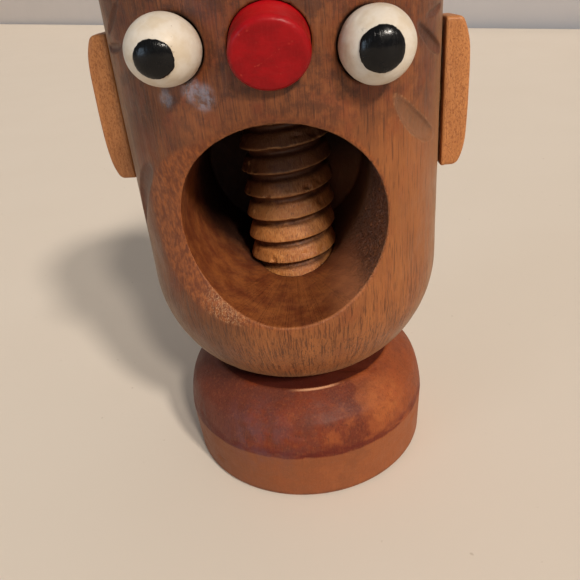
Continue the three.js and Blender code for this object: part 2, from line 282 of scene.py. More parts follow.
def fillet(profile, step, passes):
    """The same [radius, z] line in even small steps with its corners worn round; its ends stay put."""
    profile = np.asarray(profile, float)
    fine = [profile[0]]
    for a, b in zip(profile, profile[1:]):
        count = max(1, round(np.linalg.norm(b - a) / step))
        fine.extend(a + (b - a) * k / count for k in range(1, count + 1))
    fine = np.array(fine)
    for _ in range(passes):
        fine[1:-1] = 0.25 * fine[:-2] + 0.5 * fine[1:-1] + 0.25 * fine[2:]
        fine[:, 0] = np.maximum(fine[:, 0], 0)
    keep = fine[1:-1, 0] > 0.05
    return np.concatenate([fine[:1], fine[1:-1][keep], fine[-1:]])


def normals_of(points, faces):
    """Outward direction at each point of a mesh, weighted by the faces round it."""
    mesh = bpy.data.meshes.new("scratch")
    mesh.from_pydata(points.tolist(), [], faces)
    mesh.update()
    normals = np.zeros(len(points) * 3)
    mesh.vertex_normals.foreach_get("vector", normals)
    bpy.data.meshes.remove(mesh)
    return normals.reshape(-1, 3)


def wear(points, normals, move):
    """The points moved along their normals, inwards only."""
    return points + normals * np.minimum(move, 0)[:, None]


def piece(name, points, faces, material, body, slot, node, **attributes):
    """One piece of the figure, standing for one CAD node and riding on its body."""
    mesh = bpy.data.meshes.new(name)
    faces = faces.tolist() if isinstance(faces, np.ndarray) else faces
    mesh.from_pydata((np.asarray(points) * MM).tolist(), [], faces)
    mesh.update()
    mesh.polygons.foreach_set("use_smooth", [True] * len(mesh.polygons))
    for key, values in attributes.items():
        layer = mesh.attributes.new(key, "FLOAT", "POINT")
        layer.data.foreach_set("value", np.asarray(values, np.float32))
    mesh.materials.append(material)
    made = bpy.data.objects.new(name, mesh)
    scene.collection.objects.link(made)
    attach(made, body)
    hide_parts(node)


def turn_to(points, direction, origin):
    """Turns a shape so that its +Z points along `direction`, and moves it to `origin`."""
    turn = np.array(Vector(direction).to_track_quat("Z", "Y").to_matrix())
    return points @ turn.T + origin


# ---- shader tools


def colour(screen):
    """A colour as a screen shows it, 0 to 255, in the linear values that shaders use."""
    shares = [value / 255 for value in screen]
    return (*(v / 12.92 if v <= 0.04045 else ((v + 0.055) / 1.055) ** 2.4 for v in shares), 1)


class Shader:
    """A material's node tree: paint and bump build up its surface, the other calls return values."""

    def __init__(self, name):
        self.material = bpy.data.materials.new(name)
        self.material.use_nodes = True
        self.tree = self.material.node_tree
        self.tree.nodes.clear()
        coordinates = self.node("TexCoord").outputs["Object"]
        self.place = self.vector("SCALE", coordinates, scale=1 / MM)
        self.x, self.y, self.z = self.node("SeparateXYZ", self.place).outputs
        self.radius = self.length(self.x, self.y)
        self.base = self.normal = None

    def node(self, kind, *values, **settings):
        """One more node, with its settings made and its first inputs fed."""
        made = self.tree.nodes.new("ShaderNode" + kind)
        for key, value in settings.items():
            setattr(made, key, value)
        for value, socket in zip(values, made.inputs):
            self.link(value, socket)
        return made

    def fed(self, kind, inputs):
        """The output of one more node whose named inputs are fed."""
        made = self.node(kind)
        for key, value in inputs.items():
            self.link(value, made.inputs[key])
        return made.outputs[0]

    def link(self, value, socket):
        if isinstance(value, bpy.types.NodeSocket):
            self.tree.links.new(value, socket)
        elif value is not None:
            socket.default_value = value

    def math(self, operation, a, b=None, clamp=False):
        return self.node("Math", a, b, operation=operation, use_clamp=clamp).outputs[0]

    def total(self, *values):
        """All the values added together."""
        return functools.reduce(lambda a, b: self.math("ADD", a, b), values)

    def product(self, *values):
        """All the values multiplied together."""
        return functools.reduce(lambda a, b: self.math("MULTIPLY", a, b), values)

    def length(self, a, b):
        return self.math("SQRT", self.total(self.product(a, a), self.product(b, b)))

    def vector(self, operation, a, b=None, scale=None, output=0):
        return self.node("VectorMath", a, b, None, scale, operation=operation).outputs[output]

    def noise(self, size, shift, detail=3, roughness=0.55, distortion=0, place=None):
        """Noise with lumps of `size` millimetres, one number or one for each axis."""
        sizes = size if isinstance(size, tuple) else (size,) * 3
        spot = self.vector("MULTIPLY", place or self.place, tuple(1 / s for s in sizes))
        spot = self.vector("ADD", spot, (shift, 1.7 * shift, -0.6 * shift))
        values = {"Scale": 1, "Detail": detail, "Roughness": roughness, "Distortion": distortion}
        return self.fed("TexNoise", {"Vector": spot, **values})

    def span(self, value, low, high, to_low=0, to_high=1):
        """`value` carried from one range to another, and held at its ends."""
        values = value, low, high, to_low, to_high
        return self.node("MapRange", *values, clamp=True, interpolation_type="SMOOTHSTEP").outputs[0]

    def mix(self, share, a, b):
        """Colour `a` with a share of colour `b` over it; a colour is a socket, or red, green and blue."""
        made = self.node("Mix", share, data_type="RGBA")
        for tint, socket in zip((a, b), made.inputs[6:8]):
            self.link(colour(tint) if isinstance(tint, tuple) else tint, socket)
        return made.outputs[2]

    def paint(self, tint, *shares):
        """Lays one more colour over the base, as strongly as the product of its shares."""
        self.base = self.mix(self.product(*shares), self.base, tint)

    def attribute(self, name):
        return self.node("Attribute", attribute_name=name).outputs["Fac"]

    def edges(self, low, high):
        """1 on worn outer corners, 0 elsewhere."""
        return self.span(self.node("NewGeometry").outputs["Pointiness"], low, high)

    def upright(self, radius):
        """The place carried out to a cylinder, so that streaks run straight down a rounded end."""
        out = self.vector("MULTIPLY", self.place, (1, 1, 0))
        out = self.vector("SCALE", self.vector("NORMALIZE", out), scale=radius)
        return self.vector("ADD", out, self.vector("MULTIPLY", self.place, (0, 0, 1)))

    def near(self, place, reach):
        """1 at a place in millimetres, falling to 0 at `reach` from it."""
        away = self.vector("DISTANCE", self.place, place, output="Value")
        return self.span(away, reach, 0.2 * reach)

    def grazing(self, low, high):
        """0 where the surface faces the viewer, 1 where it is seen edge on."""
        return self.span(self.node("LayerWeight").outputs["Facing"], low, high)

    def bump(self, height, depth):
        """Adds relief `depth` millimetres deep to any that is there."""
        inputs = {"Height": height, "Distance": depth * MM, "Normal": self.normal}
        self.normal = self.fed("Bump", inputs)

    def finish(self, roughness, coat=0.0, coat_roughness=0.2, specular=0.5):
        inputs = {
            "Base Color": self.base,
            "Roughness": roughness,
            "Normal": self.normal,
            "Coat Weight": coat,
            "Coat Roughness": coat_roughness,
            "Specular IOR Level": specular,
        }
        self.node("OutputMaterial", self.fed("BsdfPrincipled", inputs))
        return self.material


def grain(s, shift, heart, ring, fibre, tints, late, pale):
    """Paints bare wood, and returns its fibres, finer fibres, pores and blotches as values from 0 to 1.

    The growth rings lie round a line at `heart` (x, y), `ring` apart. The tints are the wood's darker
    and lighter blotches, its late wood and its pale fibres; `late` and `pale` say how strong the last
    two are.
    """
    drift = s.noise((26, 26, 70), shift + 3.1, 2)
    warp = s.product(s.math("SUBTRACT", drift, 0.5), 2 * RING_WANDER)
    away = s.length(s.math("SUBTRACT", s.x, heart[0]), s.math("SUBTRACT", s.y, heart[1]))
    saw = s.math("FRACT", s.math("DIVIDE", s.total(away, warp), ring))
    rings = s.product(s.span(saw, 0.0, 0.8), s.span(saw, 1.0, 0.86))
    fibres = s.noise(fibre, shift + 11, 4, 0.62)
    fine = s.noise((fibre[0] * 0.35, fibre[1] * 0.35, fibre[2] * 0.6), shift + 17, 2, 0.5)
    pores = s.noise((0.34, 0.34, 5.5), shift + 29, 1, 0.4)
    blotches = s.noise((17, 17, 26), shift + 41, 3, 0.55, 0.6)
    s.base = s.mix(s.span(blotches, 0.3, 0.7), tints[0], tints[1])
    s.paint(tints[2], rings, late)
    s.paint(tints[3], s.span(fibres, pale[0], pale[1], 0, pale[2]))
    return fibres, fine, pores, blotches


# ---- finishes


def head_wood():
    s = Shader("brown_head_wood")
    tints = (92, 48, 24), (132, 74, 36), (74, 36, 18), (156, 94, 48)
    fibres, fine, pores, _ = grain(s, 5, (-46, 62), 5.2, (0.45, 0.45, 9), tints, 0.3, (0.38, 0.72, 0.35))
    bore, lip, recess_shade_and_grime = (s.attribute(name) for name in ("bore", "lip", "recess_shade_and_grime"))
    s.paint((64, 32, 16), s.span(fine, 0.52, 0.8, 0, 0.4))
    # stain that soaked in unevenly, redder and dirtier round the eyes
    s.paint((108, 42, 20), s.span(s.noise(6.5, 83, 5, 0.68), 0.44, 0.66, 0, 0.45))
    upper = s.span(s.z, 90, 108)
    grubby = s.span(s.noise(3.6, 87, 5, 0.7), 0.44, 0.62)
    s.paint((54, 27, 16), upper, grubby, 0.6)
    # painted light: the right jaw, which faces the lamps, is painted lighter and more golden; the chin's
    # end is lighter and more golden too
    drift = s.span(s.noise(12, 101, 3, 0.6), 0.3, 0.7, -12, 12)
    lit_jaw = s.product(s.span(s.total(s.x, drift), -14, 26), s.span(s.z, 104, 84))
    lit_jaw_and_pale_chin = s.math("MAXIMUM", s.product(lit_jaw, 0.5), s.span(s.z, 62, 54, 0, 0.34))
    s.paint((168, 104, 54), lit_jaw_and_pale_chin)
    # dark flecks of open grain, thickest on the chin
    chin = s.span(s.z, 66, 56, 0.3, 1)
    straight = s.upright(HEAD_RADIUS)
    flecks = s.span(s.noise((0.34, 0.34, 4.5), 29, 2, 0.5, place=straight), 0.54, 0.66)
    bands = s.span(s.noise((1.1, 1.1, 18), 31, 3, 0.6, place=straight), 0.4, 0.66, 0, 0.4)
    s.paint((104, 56, 28), bands, chin)
    s.paint((62, 31, 15), flecks, chin, 0.6)
    # painted shade: the left of the chin, turned away from the lamps, is darkened
    s.paint((70, 40, 24), s.span(s.x, -8, -20), s.span(s.z, 64, 54), 0.45)
    # dark pores of the open grain
    s.paint((50, 26, 14), s.span(pores, 0.6, 0.67), 0.45)
    # the turned wall of the mouth is redder and torn on the right; its back and roof are painted dark as
    # shade, and its lower right is painted lighter as light thrown into it
    mouth = s.mix(s.span(s.noise(4.5, 90, 4, 0.6), 0.34, 0.68), (106, 50, 22), (142, 80, 38))
    mouth = s.mix(s.span(s.noise(0.8, 92, 4, 0.7), 0.46, 0.68, 0, 0.35), mouth, (70, 28, 14))
    painted_shade_deep = s.math("MAXIMUM", s.span(s.y, -14, 6), s.span(s.z, 84, 98))
    mouth = s.mix(s.product(painted_shade_deep, 0.85), mouth, (24, 13, 11))
    torn = s.product(s.attribute("torn"), s.span(s.noise(0.9, 61, 4, 0.7), 0.4, 0.6))
    # painted light: the lower right of the mouth, in the shade of its right wall, is painted lighter
    mouth = s.mix(s.product(s.span(s.x, 6, 16), s.span(s.z, 84, 70), 0.8), mouth, (204, 130, 86))
    mouth = s.mix(s.product(torn, 0.6), mouth, (160, 122, 104))
    s.paint(mouth, bore, 0.95)
    # painted sheen: where the head is seen edge on it is painted greyer and lighter, as a reflection of the
    # room
    painted_grazing_sheen = s.product(s.grazing(0.62, 1.0), s.math("SUBTRACT", 1, s.math("MAXIMUM", bore, lip)), 0.5)
    s.paint((140, 112, 82), painted_grazing_sheen)
    # the eased lip is cleaner, and has a painted highlight in specks at its lower left
    clean = s.mix(s.span(s.noise((0.8, 0.8, 1.6), 93, 4, 0.65), 0.36, 0.66), (104, 50, 20), (152, 84, 38))
    clean = s.mix(s.span(s.z, 96, 102, 0, 0.6), clean, (72, 36, 20))
    s.paint(clean, lip, 0.85)
    speckle = s.span(s.noise((0.2, 0.2, 0.5), 117, 3, 0.6), 0.5, 0.66)
    s.paint((214, 176, 130), s.near(LIP_SHEEN, 9), s.span(lip, 0.1, 0.6), speckle, 0.55)
    # painted shade and grime in the seats and thread, then the creases painted darker, the mouth's rubbed
    # edge, and the runs of varnish with a painted bluish highlight
    recess_shade_and_grime_amount = s.span(s.noise(2.2, 97, 4, 0.65), 0.3, 0.7, 0.4, 0.9)
    s.paint((38, 20, 13), recess_shade_and_grime, recess_shade_and_grime_amount)
    s.paint((74, 42, 34), s.attribute("scoop"), 0.55)
    cheek = s.attribute("cheek")
    s.paint((124, 88, 62), cheek, 0.5)
    cheek_edge = s.product(s.span(cheek, 0.02, 0.3), s.span(cheek, 0.9, 0.5))
    chipped = s.span(s.noise(1.1, 119, 4, 0.65), 0.46, 0.62)
    s.paint((176, 130, 92), cheek_edge, chipped, 0.4)
    worn = s.span(s.noise(2.4, 111, 4, 0.6), 0.3, 0.6, 0.35, 1)
    s.paint((176, 116, 70), s.attribute("rim"), worn, 0.4)
    gloss = s.attribute("gloss")
    # painted reflection: a bluish highlight of the window over the runs of varnish
    s.paint((126, 136, 156), gloss, s.span(s.noise(1.8, 107, 4, 0.6), 0.36, 0.6), 0.42)
    height = s.total(s.product(fibres, 0.5), s.product(fine, 0.4))
    height = s.math("SUBTRACT", height, s.product(flecks, chin, 0.8))
    s.bump(height, 0.1)
    s.bump(s.noise(1.3, 55, 4, 0.65), 0.12)
    s.bump(torn, 0.8)
    matt = s.math("MAXIMUM", s.math("MAXIMUM", bore, recess_shade_and_grime), s.product(lip, 0.4))
    varnish = s.product(gloss, s.span(s.noise(2.0, 107, 4, 0.6), 0.34, 0.5))
    rough = s.span(s.noise(6, 33, 4, 0.6), 0.3, 0.7, 0.4, 0.54)
    rough = s.math("ADD", rough, s.product(matt, 0.15), clamp=True)
    rough = s.math("SUBTRACT", rough, s.product(varnish, 0.32), clamp=True)
    coat = s.math("ADD", s.span(matt, 0, 1, 0.06, 0), varnish, clamp=True)
    return s.finish(rough, coat=coat, coat_roughness=0.25, specular=0.32)


def base_wood():
    s = Shader("red_brown_base_wood")
    tints = (92, 35, 17), (122, 50, 23), (80, 30, 16), (142, 78, 42)
    fibres, _, pores, _ = grain(s, 205, (40, 55), 6.5, (0.5, 0.5, 6), tints, 0.2, (0.42, 0.75, 0.25))
    # painted sheen and light: the left is painted purplish, as the cool window's reflection, and the right
    # orange, where the lamps fall
    side = s.span(s.total(s.x, s.span(s.noise(9, 212, 4, 0.65), 0.3, 0.7, -14, 14)), -22, 26)
    s.paint((78, 48, 42), s.span(side, 0, 0.5, 0.45, 0))
    s.paint((158, 84, 40), s.span(side, 0.5, 1, 0, 0.45))
    s.paint((84, 38, 24), s.span(s.noise(5.0, 222, 5, 0.7), 0.46, 0.7, 0, 0.4))
    s.paint((168, 98, 56), s.span(s.noise(0.8, 226, 4, 0.7), 0.5, 0.72, 0, 0.2))
    s.paint((54, 26, 16), s.span(pores, 0.6, 0.68), 0.35)
    # the band below the rim took less stain
    wander = s.span(s.noise((6, 6, 30), 228, 3, 0.6), 0.3, 0.7, -0.15, 0.15)
    height = s.math("SUBTRACT", s.total(s.z, wander), RIM_HEIGHT)
    s.paint((142, 84, 48), s.span(height, 0.3, -0.3, 0, 0.6))
    # a dark red line of thick stain just above the rim, and a rubbed rim
    pooled = s.product(s.span(height, 0, 0.5), s.span(height, 4.0, 1.2))
    s.paint((84, 22, 12), pooled, s.span(s.noise((4, 4, 1.5), 231, 3, 0.6), 0.34, 0.58), 0.75)
    rubbed = s.span(s.noise((5, 5, 2), 236, 3, 0.6), 0.4, 0.65)
    s.paint((190, 122, 74), s.edges(0.515, 0.57), rubbed, 0.8)
    # a painted purplish sheen in front, an orange patch on the right, and a painted highlight on the disc's
    # sharp edge
    sheen_mottle = s.span(s.noise(3.4, 243, 3, 0.55), 0.34, 0.66)
    s.paint((98, 70, 80), s.near(PURPLE_SHEEN, 15), sheen_mottle, 0.3)
    s.paint((196, 118, 60), s.near(ORANGE_PATCH, 10), s.span(s.noise(3, 245, 4, 0.6), 0.3, 0.7), 0.32)
    top = BASE_HIGH[2]
    # painted highlight on the front of the disc's sharp edge
    corner = s.span(s.math("ABSOLUTE", s.math("SUBTRACT", s.radius, BASE_TOP_RADIUS)), 0.5, 0.1)
    disc_edge_highlight = s.product(s.near(EDGE_HIGHLIGHT, 9), corner, s.span(s.z, top - 1.0, top - 0.4))
    s.paint((224, 168, 128), disc_edge_highlight, s.span(s.noise(4, 247, 3, 0.6), 0.3, 0.55, 0.3, 1), 0.8)
    # painted shade on the disc under the chin, and the foot painted darker
    s.paint((66, 20, 13), s.span(s.z, top - 1.2, top - 0.4), s.span(s.radius, 25.7, 25.2), 0.85)
    s.paint((58, 34, 26), s.span(s.z, 2.2, 0.2), s.span(s.noise(2.5, 240, 3), 0.35, 0.6), 0.5)
    tool = s.noise((60, 60, 0.32), 251, 2, 0.5)
    s.bump(s.total(s.product(fibres, 0.5), s.product(tool, 0.4)), 0.07)
    s.bump(s.noise(1.0, 260, 5, 0.7), 0.14)
    rough = s.span(s.noise(5, 270, 4, 0.6), 0.3, 0.7, 0.5, 0.64)
    return s.finish(rough, coat=0.04, coat_roughness=0.35, specular=0.22)


def screw_wood():
    s = Shader("pale_screw_wood")
    tints = (160, 94, 46), (194, 128, 68), (140, 78, 38), (220, 164, 104)
    fibres, _, pores, blotches = grain(s, 405, (14, 22), 3.1, (0.4, 0.4, 5), tints, 0.3, (0.4, 0.75, 0.45))
    s.paint((92, 50, 28), s.span(pores, 0.58, 0.66), 0.5)
    # painted shadow: the upper turns, in the shadow of the mouth's top edge, are darkened
    s.paint((56, 30, 22), s.span(s.total(s.z, s.span(blotches, 0.3, 0.7, -5, 5)), 66, 88, 0, 0.85))
    # painted shade and dirt in the grooves between the turns
    groove = s.span(s.radius, 10.9, 9.9)
    groove_shade_and_dirt = s.span(s.noise(1.6, 431, 4, 0.65), 0.3, 0.65, 0.65, 1)
    s.paint((62, 30, 17), groove, groove_shade_and_dirt, 0.85)
    rubbed = s.span(s.noise((3, 3, 2), 440, 4, 0.6), 0.45, 0.7)
    s.paint((118, 66, 36), rubbed, s.span(s.radius, 11.2, 11.8), 0.35)
    s.paint((226, 172, 116), s.edges(0.515, 0.57), 0.45)
    s.bump(s.total(fibres, s.product(pores, -0.6)), 0.12)
    s.bump(s.noise((0.5, 0.5, 0.3), 450, 4, 0.65), 0.12)
    return s.finish(s.span(s.noise(3, 460, 3), 0.3, 0.7, 0.42, 0.6), specular=0.4)


def ear_wood(name, shift):
    s = Shader(name)
    tints = (166, 106, 60), (186, 122, 68), (146, 84, 44), (206, 142, 86)
    fibres, _, pores, _ = grain(s, shift, (8, 30), 4.2, (0.4, 0.4, 6), tints, 0.15, (0.42, 0.72, 0.4))
    speckle = s.span(s.noise((0.35, 0.35, 0.6), shift + 21, 4, 0.7), 0.48, 0.64)
    s.paint((134, 72, 36), speckle, 0.6)
    s.paint((120, 68, 36), s.span(pores, 0.62, 0.68), 0.25)
    s.paint((214, 158, 104), s.edges(0.52, 0.58), 0.4)
    s.bump(s.total(fibres, s.product(speckle, -0.7)), 0.06)
    s.bump(s.noise(0.7, shift + 31, 3, 0.6), 0.05)
    rough = s.span(s.noise(4, shift + 41, 3), 0.3, 0.7, 0.5, 0.62)
    return s.finish(rough, coat=0.05, specular=0.35)


def dowel_wood():
    s = Shader("dowel_wood")
    tints = (196, 158, 108), (222, 190, 140), (178, 134, 84), (232, 204, 158)
    fibres, fine, _, _ = grain(s, 605, (3, 9), 1.6, (0.3, 0.3, 4), tints, 0.35, (0.45, 0.75, 0.4))
    s.bump(s.total(fibres, fine), 0.06)
    return s.finish(s.span(s.noise(2, 611, 3), 0.3, 0.7, 0.6, 0.75), specular=0.3)


def white_paint():
    s = Shader("cream_white_paint")
    strokes = s.noise((3.2, 3.2, 0.6), 705, 3, 0.5, 0.8)
    s.base = s.mix(s.span(s.noise(3.5, 711, 3, 0.6), 0.35, 0.7), (208, 199, 186), (198, 184, 163))
    near_head = s.span(s.math("SUBTRACT", s.radius, HEAD_RADIUS), 3.0, 0.2)
    smear = s.span(s.noise(1.7, 721, 4, 0.65), 0.38, 0.62, 0.2, 1)
    s.paint((168, 122, 80), near_head, smear, 0.4)
    # stain from the head, rubbed over the inner side of the right eye
    inner = s.product(s.span(s.x, 15.6, 12.6), s.span(s.x, 0, 1), s.span(s.z, 106, 112))
    rub = s.span(s.noise(2.6, 727, 4, 0.65), 0.34, 0.6, 0.3, 1)
    s.paint((176, 116, 84), inner, rub, 0.45)
    splash = s.span(s.noise(0.5, 729, 2, 0.5), 0.52, 0.58)
    s.paint((18, 18, 20), s.near(BLACK_SPLASH, 1.9), splash, 0.85)
    specks = s.span(s.noise(0.5, 733, 2, 0.5), 0.71, 0.76)
    s.paint((104, 80, 62), specks, 0.5)
    s.bump(strokes, 0.05)
    s.bump(s.noise(2.4, 741, 2, 0.5), 0.1)
    rough = s.span(s.noise(2, 751, 3), 0.3, 0.7, 0.38, 0.52)
    return s.finish(rough, coat=0.05, coat_roughness=0.25, specular=0.35)


def black_paint():
    s = Shader("black_paint")
    s.base = s.mix(s.span(s.noise(1.3, 805, 3, 0.6), 0.4, 0.7), (4, 4, 6), (11, 10, 10))
    strokes = s.noise((0.35, 2.2, 2.2), 811, 3, 0.55, 0.6)
    dust = s.span(s.noise(0.5, 817, 3, 0.6), 0.7, 0.8)
    s.paint((80, 78, 76), dust, 0.1)
    s.bump(strokes, 0.07)
    rough = s.span(s.noise(1.1, 823, 3), 0.3, 0.7, 0.16, 0.28)
    return s.finish(rough, coat=0.1, coat_roughness=0.1, specular=0.22)


def red_paint():
    s = Shader("crimson_paint")
    s.base = s.mix(s.span(s.noise(4, 905, 3, 0.6), 0.35, 0.7), (132, 2, 9), (152, 5, 14))
    streaks = s.span(s.noise((0.3, 0.6, 2.4), 909, 3, 0.6), 0.48, 0.7, 0, 0.3)
    s.paint((150, 20, 26), streaks)
    worn = s.product(s.edges(0.56, 0.66), s.span(s.noise(1.8, 911, 3), 0.4, 0.65))
    s.paint((190, 70, 54), worn, 0.4)
    # painted light: the top of the nose, which faces the light from above, is painted brighter
    height = middle("nose")[2]
    s.paint((196, 22, 30), s.span(s.z, height + 3, height + 7, 0, 0.5))
    strokes = s.noise((2.6, 2.6, 0.5), 917, 3, 0.5, 0.7)
    s.bump(strokes, 0.06)
    s.bump(s.noise(0.6, 923, 3, 0.6), 0.03)
    rough = s.span(s.noise(2.2, 929, 3), 0.3, 0.7, 0.34, 0.44)
    return s.finish(rough, coat=0.05, coat_roughness=0.25, specular=0.18)


DOWEL_WOOD = dowel_wood()


# ---- head


def superellipse(a, b, power, span_a, span_b):
    """Distance from a rounded corner; a and b are the shares of each span that a point has gone."""
    size = (a**power + b**power) ** (1 / power)
    slope = np.hypot(a ** (power - 1) / span_a, b ** (power - 1) / span_b)
    slope = slope * np.maximum(size, 1e-6) ** (1 - power)
    return (size - 1) / np.maximum(slope, 0.5 / max(span_a, span_b))


def round_mouth(x, z):
    """How far a point lies outside the mouth's circle, and its angle round the circle."""
    across, up = x - MOUTH_X, z - MOUTH_Z
    return np.hypot(across, up) - MOUTH_RADIUS, np.arctan2(up, across)


def lip_width(angle):
    away = (np.degrees(angle) % 360 - LIP_LEFT_ANGLE) / LIP_LEFT_SPREAD
    return LIP_WIDTH + LIP_TOP_EXTRA * np.maximum(np.sin(angle), 0) + LIP_LEFT_EXTRA * np.exp(-(away**4))


def front(x):
    return -np.sqrt(np.maximum(HEAD_RADIUS**2 - x**2, 1))


def mouth_wall(x, y, z):
    """Negative in the mouth's bore."""
    return np.maximum(round_mouth(x, z)[0], y - MOUTH_BACK)


def lip_face(x, y, z):
    """Negative behind the sloping face that eases the mouth's edge."""
    out, angle = round_mouth(x, z)
    width = lip_width(angle)
    inner = front(MOUTH_X + MOUTH_RADIUS * np.cos(angle)) + LIP_SLOPE * width + LIP_DEPTH
    outer = front(MOUTH_X + (MOUTH_RADIUS + width) * np.cos(angle))
    slope = (outer - inner) / width
    inside = np.clip(1 - out / width, 0, 1)
    face = inner + slope * out + LIP_ROLL * width * inside**1.8
    return (face - y) / np.hypot(1, slope)


def thread(x, y, z, grown):
    """Negative inside a right-hand threaded bar whose surface stands `grown` outside the screw's own."""
    radius = np.hypot(x, y)
    turn = (z - THREAD_PHASE - PITCH * np.arctan2(y, x) / (2 * np.pi)) / PITCH
    above = PITCH * (turn - np.round(turn))
    from_crest = np.abs(above)
    crest = CREST_RADIUS - CREST_LEAN * (above + HALF_CREST)
    run = 0.5 * PITCH - HALF_ROOT - HALF_CREST
    lean = run / (CREST_RADIUS - ROOT_RADIUS)
    flank = (from_crest - HALF_CREST - lean * (CREST_RADIUS - radius)) / np.hypot(1, lean)
    ridge = smooth_max(radius - crest - grown, flank - grown, 0.6)
    return smooth_min(radius - ROOT_RADIUS - grown, ridge, 0.5)


def gouge(x, y, z, turn, height, length, width, depth, tilt, curl):
    """Negative in a curved scoop lying in the head's side."""
    angle, lean = math.radians(turn), math.radians(tilt)
    out = np.array([math.sin(angle), -math.cos(angle)])
    across = x * -out[1] + y * out[0]
    up = z - height
    along = across * math.cos(lean) + up * math.sin(lean)
    side = up * math.cos(lean) - across * math.sin(lean)
    side = side - curl * (2 * along / length) ** 2
    high = np.hypot(x, y) - HEAD_RADIUS
    front_half = np.where(x * out[0] + y * out[1] > 0, 0, 50)
    size = np.sqrt((along * 2 / length) ** 2 + (side * 2 / width) ** 2 + (high / depth) ** 2)
    return (size - 1) * 0.6 * depth + front_half


def bar(x, y, z, start, end, radius):
    """Negative inside a round bar between two points."""
    start, end = np.asarray(start, float), np.asarray(end, float)
    length = np.linalg.norm(end - start)
    way = (end - start) / length
    dx, dy, dz = x - start[0], y - start[1], z - start[2]
    along = dx * way[0] + dy * way[1] + dz * way[2]
    off = np.sqrt(np.maximum(dx * dx + dy * dy + dz * dz - along * along, 0))
    return np.maximum(off - radius, np.maximum(-along, along - length))


def eye_numbers(side):
    """Where an eye sits, its size, how flat it is, and the way and half the length of its peg."""
    low, high = box(f"eye_{side}")
    centre = 0.5 * (low + high)
    radius = 0.5 * (high[0] - low[0])
    return {
        "centre": centre,
        "radius": radius,
        "flatness": 0.5 * (high[2] - low[2]) / radius,
        "inward": np.array([-centre[0], -centre[1], 0]) / np.hypot(centre[0], centre[1]),
        "peg_half": np.linalg.norm(middle(f"eye_peg_{side}") - centre),
    }


EYES = {side: eye_numbers(side) for side in ("left", "right")}


def nose_place(x, y, z):
    """Distances across, up and out of the head, measured along the leaning nose."""
    lean = math.radians(NOSE_TILT)
    dy, dz = y + HEAD_RADIUS, z - NOSE_Z
    up = dz * math.cos(lean) - dy * math.sin(lean)
    out = -dy * math.cos(lean) - dz * math.sin(lean)
    return x, up, out


def nose_seat(x, y, z):
    across, up, out = nose_place(x, y, z)
    wall = np.hypot(across, up / NOSE_FLATNESS) - NOSE_RADIUS - TIGHT
    return np.maximum(wall, -(out + NOSE_SUNK + SEAT_GAP))


def sockets(x, y, z):
    """Negative in the dished eye seats, the nose's seat and the peg holes."""
    void = np.full(np.broadcast(x, y, z).shape, 100.0)
    for eye in EYES.values():
        c = eye["centre"]
        up = (z - c[2]) / eye["flatness"]
        ball = np.sqrt((x - c[0]) ** 2 + (y - c[1]) ** 2 + up**2) - eye["radius"] - EYE_SEAT
        end = c + eye["inward"] * (2 * eye["peg_half"] + GLUE_GAP)
        void = np.minimum(void, np.minimum(ball, bar(x, y, z, c, end, PEG_RADIUS + GLUE_GAP)))
    across, up, out = nose_place(x, y, z)
    seat = nose_seat(x, y, z)
    hole = np.hypot(across, up) - PEG_RADIUS - GLUE_GAP
    hole = np.maximum(hole, -(out + NOSE_SUNK + PEG_DEPTH + GLUE_GAP))
    void = np.minimum(void, np.minimum(seat, hole))
    for side, sign in (("left", -1), ("right", 1)):
        low, high = box(f"ear_peg_{side}")
        at = 0.5 * (low + high)
        inner = sign * (min(abs(low[0]), abs(high[0])) - GLUE_GAP)
        start, end = (inner, *at[1:]), (sign * BEYOND_EARS, *at[1:])
        void = np.minimum(void, bar(x, y, z, start, end, EAR_PEG_RADIUS + GLUE_GAP))
    return void


def gouges(x, y, z):
    cuts = [gouge(x, y, z, *numbers) for numbers in GOUGES]
    return np.minimum.reduce(cuts)


def head_block(x, y, z):
    radius = np.hypot(x, y)
    side = np.maximum(radius - CHIN_RADIUS, 0) / (HEAD_RADIUS - CHIN_RADIUS)
    drop = np.maximum(CHIN_TOP - z, 0) / (CHIN_TOP - CHIN_BOTTOM)
    chin = superellipse(side, drop, 2 / CHIN_POWER, HEAD_RADIUS - CHIN_RADIUS, CHIN_TOP - CHIN_BOTTOM)
    rise = np.maximum(z - CROWN_START, 0) / (CROWN_TOP - CROWN_START)
    crown = superellipse(radius / HEAD_RADIUS, rise, 2, HEAD_RADIUS, CROWN_TOP - CROWN_START)
    return np.maximum(chin, crown)


def outer_face(x, y, z):
    """Negative inside the head's block behind the eased lip."""
    return smooth_max(head_block(x, y, z), lip_face(x, y, z), 0.9)


def chin_hole(x, y, z):
    """Negative in the threaded hole, which opens into the mouth."""
    return np.maximum(thread(x, y, z, CHIN_CLEARANCE), z - MOUTH_Z)


def head_field(x, y, z):
    solid = outer_face(x, y, z)
    solid = smooth_max(solid, -gouges(x, y, z), 0.12)
    solid = smooth_max(solid, -sockets(x, y, z), 0.3)
    solid = smooth_max(solid, -mouth_wall(x, y, z), 0.35)
    return smooth_max(solid, -chin_hole(x, y, z), 0.3)


